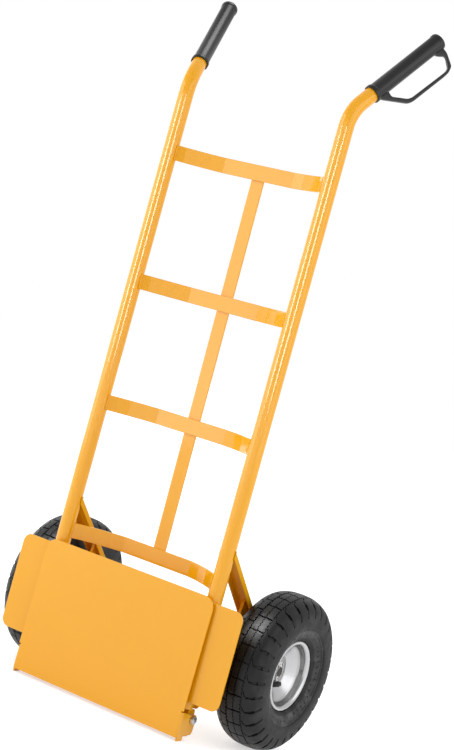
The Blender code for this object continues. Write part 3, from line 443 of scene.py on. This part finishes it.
for side, hand in hands:
    grip = bmesh.new()
    spun(grip, sleeve, grip_sides, grip_foot, handle)
    loops = []
    for outer, inner in zip(rounded_way(guard_outer_shares), rounded_way(guard_inner_shares)):
        half = (outer - inner) / 2
        loop = []
        for step in range(guard_sides):
            angle = math.tau * (step + 0.5) / guard_sides
            flat = inner + half + half * squared(math.cos(angle))
            deep = squared(math.sin(angle)) * guard_thick / 2
            place = handle * flat.x + guard_way * flat.y + guard_side * deep
            loop.append(grip.verts.new(grip_foot + place))
        loops.append(loop)
    for one, two in zip(loops, loops[1:]):
        bridge(grip, one, two)
    grip.faces.new(loops[0])
    grip.faces.new(loops[-1])
    bmesh.ops.scale(grip, vec=(side, 1.0, 1.0), verts=grip.verts)
    made = piece("grip_skin_" + hand, grip, plastic, "frame", ["grip_" + hand], sharp=50.0)
    if hand == "left":
        lit_grip.objects.link(made)

# Toe hinge: the plate folds up on two zinc-plated hexagon bolts, one at each end of the beam. Each
# bolt has a flat washer under its head, and a low round rim on its face.
hexagon_r, head_deep, shank_r, bolt_long = 0.0075, 0.0048, 0.0039, 0.0163
bolt_washer_r, bolt_hole_r = 0.008, 0.0043
bolt_profile = [(0.0, 0.0), (0.0, hexagon_r * 0.985), (-0.0003, hexagon_r), (-0.0042, hexagon_r),
                (-head_deep, hexagon_r * 0.9), (-head_deep, shank_r), (-bolt_long, shank_r),
                (-bolt_long, 0.0)]
face_profile = [(0.0, 0.0), (0.00018, 0.0052), (-0.0002, 0.0062), (-0.0010, 0.0066), (-0.0010, 0.0)]
zinc, zinc_shader, at = finish_of("zinc_plate", (0.62, 0.62, 0.61), 0.3, 1.0)
bloom = at.noise(420.0, 3.0)
feed(zinc_shader, Base_Color=bloom.mix((0.50, 0.50, 0.49, 1.0), grey(0.72)),
     Roughness=0.24 + bloom * 0.22, bump=(at.noise(1400.0, 2.0), 0.00001))


def end_of(node, side):
    """Middle of the right end of a node's box for side 1, and of the left end for side -1."""
    low, high = (Vector(corner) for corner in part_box(node))
    middle = (low + high) / 2
    middle.x = high.x if side > 0 else low.x
    return middle


def across_x(name, node, body, look, outer, inner=0.0, sides=64, chamfer=0.0004):
    """Turn a rod or ring with chamfered ends between the ends of a node's box."""
    middle = (end_of(node, -1) + end_of(node, 1)) / 2
    half = end_of(node, 1).x - middle.x
    profile = [(-half + chamfer, outer), (half - chamfer, outer), (half, outer - chamfer)]
    if inner:
        profile += [(half, inner + chamfer), (half - chamfer, inner), (-half + chamfer, inner),
                    (-half, inner + chamfer), (-half, outer - chamfer)]
    else:
        profile = [(-half, 0.0), (-half, outer - chamfer)] + profile + [(half, 0.0)]
    shape = bmesh.new()
    spun(shape, profile, sides, middle, closed=bool(inner))
    return piece(name, shape, look, body, [node], sharp=25.0)


for side, hand in hands:
    bolt = bmesh.new()
    for profile, sides in ((bolt_profile, 6), (face_profile, 48)):
        spun(bolt, [(side * along, radius) for along, radius in profile], sides,
             end_of("hinge_bolt_" + hand, side))
    piece("hinge_bolt_skin_" + hand, bolt, zinc, "frame", ["hinge_bolt_" + hand], sharp=25.0)
    across_x("hinge_washer_skin_" + hand, "hinge_washer_" + hand, "frame", zinc,
             bolt_washer_r, bolt_hole_r)

# Axle set: a bright steel rod with chamfered ends, its flat end faces coloured near black. Zinc-plated
# tube spacers sit against the axle plates, and at each end a washer is held by a split pin.
axle_r, axle_chamfer, axle_hole_r, spacer_r, washer_r = 0.008, 0.001, 0.0083, 0.0113, 0.0145
dark_end_from, dark_end_to = 0.2299, 0.2302
steel, steel_shader, at = finish_of("bare_steel", (0.56, 0.56, 0.57), 0.28, 1.0)
drawn = at.node("ShaderNodeMapping", {}, Vector=at, Scale=(60.0, 1500.0, 1500.0)).noise(1.0, 2.0)
stain = at.noise(90.0, 4.0).step(0.5, 0.72)
along_x = at.node("ShaderNodeSeparateXYZ", {}, Vector=at)
# Near-black colour, and more roughness, on the rod's flat end faces.
dark_end = along_x.maths("ABSOLUTE", along_x).step(dark_end_from, dark_end_to)
plain = stain.mix((0.60, 0.60, 0.61, 1.0), (0.42, 0.41, 0.40, 1.0))
feed(steel_shader, Base_Color=dark_end.mix(plain, (0.07, 0.065, 0.06, 1.0)),
     Roughness=0.2 + drawn * 0.14 + stain * 0.14 + dark_end * 0.2, bump=(drawn, 0.000012))
across_x("axle_rod", "axle", "frame", steel, axle_r, 0.0, 48, axle_chamfer)
for _, hand in hands:
    for name, outer in (("axle_spacer_", spacer_r), ("axle_washer_", washer_r)):
        across_x(name + "skin_" + hand, name + hand, "frame", zinc, outer, axle_hole_r)
coat(zinc, "split_pin")

# Tyres: black rubber, moulded with fine cuts that leave rows of square blocks. The row left of the
# long zigzag cut and its shoulder are set half a step on. Hooked cuts end on the smooth shoulders,
# and wide cuts split these and run on down the sides as shallow notches.
hub_x, hub_y, hub_z = 0.2218, 0.136, 0.130
tread_from, tread_full = 0.117, 0.126
marks_round, marks_r, marks_stray = 44, 0.0715, 0.012
rubber, rubber_shader, at = finish_of("tyre_rubber", (0.012, 0.012, 0.012), 0.5, Specular_IOR_Level=0.27)


def from_axle(at):
    """How far a point is from the axle's line, right of the middle, and behind and above the axle."""
    places = at.node("ShaderNodeSeparateXYZ", {}, Vector=at).socket.node.outputs
    right, back, above = (Wire(at.tree, place) for place in places)
    back, above = back - hub_y, above - hub_z
    return (back * back + above * above) ** 0.5, right, back, above


off_axle, _, back, above = from_axle(at)
dusty = at.noise(55.0, 4.0).step(0.42, 0.7)
on_tread = off_axle.step(tread_from, tread_full)
# A ring over the moulded marks is painted lighter grey: painted sheen on that part of the sidewall,
# mottled by the dust noise.
painted_sheen_ring = off_axle.step(0.0640, 0.0670) * (1.0 - off_axle.step(0.0780, 0.0830))
side_tone = on_tread.mix(dusty.mix(grey(0.006), grey(0.021)), grey(0.004))
tone = painted_sheen_ring.mix(side_tone, dusty.mix(grey(0.030), grey(0.085)))
counted = back.maths("ARCTAN2", back, above) * (marks_round / math.tau)
aside = (counted.maths("FRACT", counted) - 0.5) * 8.0
apart = (off_axle - marks_r + (at.noise(45.0, 0.0) - 0.5) * marks_stray) * 640.0
marks = (1.0 - (aside * aside + apart * apart).step(1.0, 2.2)) * at.noise(24.0, 0.0).step(0.36, 0.40)
feed(rubber_shader, Base_Color=marks.mix(tone, grey(0.001)),
     Roughness=0.50 - on_tread * 0.17 + at.noise(120.0, 3.0) * 0.14,
     bump=(at.noise(1500.0, 3.0) + at.noise(200.0) * 2.0, 0.00002))


def through(points, steps):
    """Draw a smooth line that passes through every point."""
    points = [Vector(point) for point in points]
    run = []
    for index in range(len(points) - 1):
        a, b, c, d = (points[min(max(index + k, 0), len(points) - 1)] for k in (-1, 0, 1, 2))
        for step in range(steps):
            s = step / steps
            run.append(0.5 * (b * 2 + (c - a) * s + (a * 2 - b * 5 + c * 4 - d) * s * s
                              + (b * 3 - a - c * 3 + d) * s * s * s))
    return run + [points[-1]]


tread = through([(0.0, 0.1300), (0.0153, 0.1290), (0.0285, 0.1242), (0.0370, 0.1157), (0.0405, 0.1085),
                 (0.0419, 0.1010), (0.0424, 0.0930), (0.0424, 0.0890)], 4)
sidewall = through([(0.0424, 0.0890), (0.0421, 0.0850), (0.0411, 0.0822), (0.0401, 0.0813),
                    (0.0404, 0.0800), (0.0400, 0.0786), (0.0386, 0.0778), (0.0376, 0.0745),
                    (0.0360, 0.0700), (0.0340, 0.0660), (0.0318, 0.0625), (0.0309, 0.0612),
                    (0.0303, 0.0602), (0.0290, 0.0597), (0.0262, 0.0600)], 2)
section = tread + sidewall[1:]
reach = [0.0]
for one, two in zip(section, section[1:]):
    reach.append(reach[-1] + (two - one).length)


def on_section(over):
    """Point and outward way on the tyre's section at a distance from its middle."""
    far = min(abs(over), reach[-1])
    spot = next(i for i in range(len(reach) - 1) if reach[i + 1] >= far)
    one, two = section[spot], section[spot + 1]
    here = one.lerp(two, (far - reach[spot]) / (reach[spot + 1] - reach[spot]))
    way = (two - one).normalized()
    side = -1 if over < 0 else 1
    return Vector((here.x * side, here.y)), Vector((-way.y * side, way.x))


# One step of the tread is drawn flat, in steps round and metres over. It starts at the seam.
pitches, crown, tread_turn = 30, 0.130, math.radians(2.8)
step_along = math.tau * crown / pitches
teeth, tooth_half, wall_slope, hair = 8, 0.0010, 0.00022, 0.00001
seam = -1 / teeth
shoulder, shoulder_loss = 0.035, 0.4
outlines, beds = [], []


def cut(points, wide, deep, aside):
    """Note a cut: its middle line in steps round and metres over, width, depth and way across.

    It has three outlines: its mouth, its bed, and one a hair wider that tells what lies on the bed.
    """
    line = [Vector((u * step_along, v)) for u, v in points]
    aside = Vector(aside).normalized()
    bed = wide / 2 - wall_slope
    for longer, half in ((wall_slope, wide / 2), (0.0, bed), (hair, bed + hair)):
        first = line[0] - (line[1] - line[0]).normalized() * longer
        last = line[-1] + (line[-1] - line[-2]).normalized() * longer
        run = [first] + line[1:-1] + [last]
        for spot in run:
            spot.x = min(max(spot.x, seam * step_along), (seam + 1) * step_along)
        outlines.append(([spot + aside * half for spot in run], [spot - aside * half for spot in run]))
    beds.append((*outlines[-1], deep))


def zigzag(over, wide, deep):
    """Cut a finely toothed line round the tread."""
    line = [(k / teeth, over + (tooth_half if k % 2 else -tooth_half)) for k in range(-1, teeth)]
    cut(line, wide, deep, (0, 1))


zigzag(-0.0067, 0.0024, 0.0036)
zigzag(0.0060, 0.0015, 0.0030)
zigzag(0.0189, 0.0016, 0.0030)
zigzag(-0.0192, 0.0016, 0.0030)
for line in ([(0.03, -0.0064), (-0.01, -0.0030), (-0.02, 0.0052)],
             [(0.03, 0.0058), (0.0, 0.0094), (-0.02, 0.0182)],
             [(0.53, -0.0194), (0.49, -0.0160), (0.48, -0.0075)]):
    cut(line, 0.0026, 0.0034, (1, 0))
for flank, late in ((1, 0.0), (-1, 0.5)):
    for start, end, wide, deep in ((0.0262, 0.0330, 0.0030, 0.0050), (0.0330, 0.0420, 0.0062, 0.0056),
                                   (0.0345, 0.0570, 0.0046, 0.0019)):
        cut([(late, flank * start), (late, flank * end)], wide, deep, (1, 0))
    for way in (-1, 1):
        for turn_back in (0, -1):
            hook = [(late + way * along + turn_back, flank * over)
                    for along, over in ((0.03, 0.0254), (0.14, 0.0234), (0.37, 0.0210))]
            if all(seam < along < seam + 1 for along, over in hook):
                cut(hook, 0.0014, 0.0028, (0.45, 0.9 * way * flank))

spots, edges = [], []
for left, right in outlines:
    outline = left + right[::-1]
    edges += [(len(spots) + k, len(spots) + (k + 1) % len(outline)) for k in range(len(outline))]
    spots += outline
rows = sorted({side * far for side in (-1, 1) for far in reach})
columns = 6
for column in range(columns + 1):
    spots += [Vector(((seam + column / columns) * step_along, row)) for row in rows]
spots, _, corners, *_ = delaunay_2d_cdt(spots, edges, [], 0, 0.000002)


def cut_depth(spot):
    """How deep the tread is cut at a spot of the flat step; cuts lose depth towards the shoulders."""
    found = [deep for left, right, deep in beds for k in range(len(left) - 1)
             if intersect_point_quad_2d(spot, left[k], left[k + 1], right[k + 1], right[k])]
    return max(found, default=0.0) * (1.0 - shoulder_loss * min(abs(spot.y) / shoulder, 1.0))


sunk = []
for spot in spots:
    here, out = on_section(spot.y)
    sunk.append((spot.x / crown, here - out * cut_depth(spot)))
pips, pip_sunk, pip_sides = 70, 0.0004, 8
pip_rows = ((0.0377, 0.0748), (0.0369, 0.0722), (0.0351, 0.0682))
for side, hand in hands:
    centre = Vector((side * hub_x, hub_y, hub_z))
    tyre = bmesh.new()
    for number in range(pitches):
        step_start = tread_turn + number * math.tau / pitches
        placed = []
        for along, spot in sunk:
            angle = step_start + along
            place = Vector((spot.x, spot.y * math.sin(angle), spot.y * math.cos(angle)))
            placed.append(tyre.verts.new(centre + place))
        for face in corners:
            tyre.faces.new([placed[k] for k in face])
    bmesh.ops.remove_doubles(tyre, verts=tyre.verts, dist=hair)
    for number in range(pips):
        where = math.tau * (number + chance.uniform(-0.3, 0.3)) / pips
        pip_x, pip_r = chance.choice(pip_rows)
        spoke = Vector((0.0, math.sin(where), math.cos(where)))
        for flank in (-1, 1):
            foot = centre + spoke * pip_r + sideways * flank * (pip_x - pip_sunk)
            spun(tyre, [(0.0, 0.0009), (flank * 0.0007, 0.0007), (flank * 0.0009, 0.0)], pip_sides, foot)
    made = piece("tyre_skin_" + hand, tyre, rubber, "wheel_" + hand, ["tyre_" + hand],
                 sharp=30.0)
    lit_tyres.objects.link(made)
coat(rubber, "inner_tube")

# Rims: two dished steel halves, pressed, spun bright and plated. The lip is rolled over, and the
# dish runs in to a flat that is fixed to the hub.
rim_sheet, rim_sides = 0.0016, 112
half_rim = [(0.0266, 0.0588), (0.0280, 0.0591), (0.0292, 0.0588), (0.0299, 0.0578), (0.0301, 0.0563),
            (0.0299, 0.0548), (0.0290, 0.0533), (0.0276, 0.0518), (0.0258, 0.0506), (0.0236, 0.0499),
            (0.0200, 0.0494), (0.0172, 0.0490), (0.0158, 0.0484), (0.0148, 0.0472), (0.0138, 0.0455),
            (0.0086, 0.0380), (0.0034, 0.0305), (0.0027, 0.0290), (0.0024, 0.0270), (0.0023, 0.0172)]
bright, bright_shader, at = finish_of("plated_steel", (0.56, 0.56, 0.57), 0.2, 1.0)
off_axle, right, *_ = from_axle(at)
lines = at.node("ShaderNodeCombineXYZ", {}, X=off_axle * 900.0, Y=right * 900.0).noise(1.0, 2.0)
cloudy = at.noise(70.0, 4.0)
# The rim's wall, between the dish and the rolled lip, is painted darker than the dish: painted shade.
wall_shade = off_axle.step(0.0445, 0.0470) * (1.0 - off_axle.step(0.0503, 0.0520))
sheen = cloudy.mix((0.42, 0.42, 0.43, 1.0), (0.49, 0.49, 0.50, 1.0))
feed(bright_shader, Base_Color=wall_shade.mix(sheen, grey(0.38)),
     Roughness=0.19 + lines * 0.06 + cloudy * 0.04, bump=(lines, 0.0000004))
backs = []
for index, (along, radius) in enumerate(half_rim):
    before, after = half_rim[max(index - 1, 0)], half_rim[min(index + 1, len(half_rim) - 1)]
    way = (Vector(after) - Vector(before)).normalized()
    backs.append((along + way.y * rim_sheet, radius - way.x * rim_sheet))
for side, hand in hands:
    centre = Vector((side * hub_x, hub_y, hub_z))
    for flank, label in ((1, "outer"), (-1, "inner")):
        rim = bmesh.new()
        profile = [(along * side * flank, radius) for along, radius in half_rim + backs[::-1]]
        spun(rim, profile, rim_sides, centre, closed=True)
        piece("rim_" + label + "_skin_" + hand, rim, bright, "wheel_" + hand,
              ["rim_" + label + "_" + hand], sharp=50.0)

# Hubs: a steel tube welded through the two rim halves. A ball bearing is pressed in at each end,
# with a seal a little below the faces of its rings.
hub_r, hub_bore_r, hub_sides, bearing_sides = 0.0170, 0.0144, 80, 64
weld_r, weld_x, weld_thick, weld_steps, weld_sides = 0.0178, 0.0031, 0.0012, 90, 8
bearing_profile = [(0.0, 0.0138), (-0.0003, 0.0141), (-0.0097, 0.0141), (-0.0100, 0.0138),
                   (-0.0100, 0.0086), (-0.0097, 0.0083), (-0.0003, 0.0083), (0.0, 0.0086),
                   (0.0, 0.0099), (-0.0009, 0.0101), (-0.0007, 0.0106), (-0.0007, 0.0119),
                   (-0.0009, 0.0124), (0.0, 0.0126)]
for side, hand in hands:
    centre = Vector((side * hub_x, hub_y, hub_z))
    across_x("hub_skin_" + hand, "hub_" + hand, "wheel_" + hand, bright,
             hub_r, hub_bore_r, hub_sides)
    weld = bmesh.new()
    for x in (weld_x, -weld_x):
        angles = [math.tau * i / weld_steps for i in range(weld_steps + 1)]
        ring = [centre + Vector((x, weld_r * math.cos(angle), weld_r * math.sin(angle)))
                for angle in angles]
        radii = [weld_thick * (1 + 0.12 * math.sin(i * 2.3)) for i in range(weld_steps + 1)]
        swept(weld, ring, radii, weld_sides)
    piece("hub_weld_" + hand, weld, bright, "wheel_" + hand, ())
    for label, way in (("outer", side), ("inner", -side)):
        bearing = bmesh.new()
        name = "bearing_" + label + "_"
        profile = [(along * way, radius) for along, radius in bearing_profile]
        spun(bearing, profile, bearing_sides, end_of(name + hand, way), closed=True)
        piece(name + "skin_" + hand, bearing, steel, "wheel_" + hand, [name + hand],
              sharp=25.0)

# Valves: a rubber stem stands out of the outer half of each rim, with a ribbed black cap screwed
# on its end.
valve_x, valve_r, valve_tilt, valve_turn = 0.00518, 0.034, math.radians(32.2), math.radians(-140.0)
stem_profile = [(-0.0060, 0.0), (-0.0060, 0.0042), (-0.0030, 0.0044), (0.0005, 0.0044), (0.0012, 0.0054),
                (0.0022, 0.0054), (0.0032, 0.0044), (0.0080, 0.0040), (0.0093, 0.0036), (0.0095, 0.0027),
                (0.0200, 0.0027), (0.0200, 0.0)]
cap_profile = [(0.0098, 0.0029), (0.0098, 0.0041), (0.0102, 0.0045), (0.0200, 0.0045), (0.0206, 0.0043),
               (0.0210, 0.0036), (0.0232, 0.0032), (0.0238, 0.0026), (0.0238, 0.0)]
stem_sides, cap_sides, ribbed_part, rib_out, groove_in = 40, 60, slice(2, 4), 1.04, 0.93
cap_look, cap_shader, at = finish_of("cap_plastic", (0.014, 0.014, 0.014), 0.4)
feed(cap_shader, Base_Color=at.noise(300.0, 2.0).mix(grey(0.010), grey(0.022)),
     Roughness=0.3 + at.noise(900.0, 2.0) * 0.2, bump=(at.noise(2200.0, 1.0), 0.00001))
valve_spoke = Vector((0.0, math.cos(valve_turn), math.sin(valve_turn)))
valve_way = sideways * math.cos(valve_tilt) - valve_spoke * math.sin(valve_tilt)
seat = Vector((hub_x, hub_y, hub_z)) + sideways * valve_x + valve_spoke * valve_r
for side, hand in hands:
    stem = bmesh.new()
    spun(stem, stem_profile, stem_sides, seat, valve_way)
    cap = bmesh.new()
    for loop in spun(cap, cap_profile, cap_sides, seat, valve_way)[ribbed_part]:
        for index, vert in enumerate(loop):
            axis_point = seat + valve_way * (vert.co - seat).dot(valve_way)
            vert.co = axis_point + (vert.co - axis_point) * (rib_out if index % 3 else groove_in)
    for label, shape, look, slot in (("stem", stem, rubber, "inner_tube_rubber"),
                                     ("cap", cap, cap_look, "cap_plastic")):
        name = "valve_" + label + "_"
        bmesh.ops.scale(shape, vec=(side, 1.0, 1.0), verts=shape.verts)
        piece(name + "skin_" + hand, shape, look, "wheel_" + hand, [name + hand], sharp=40.0)
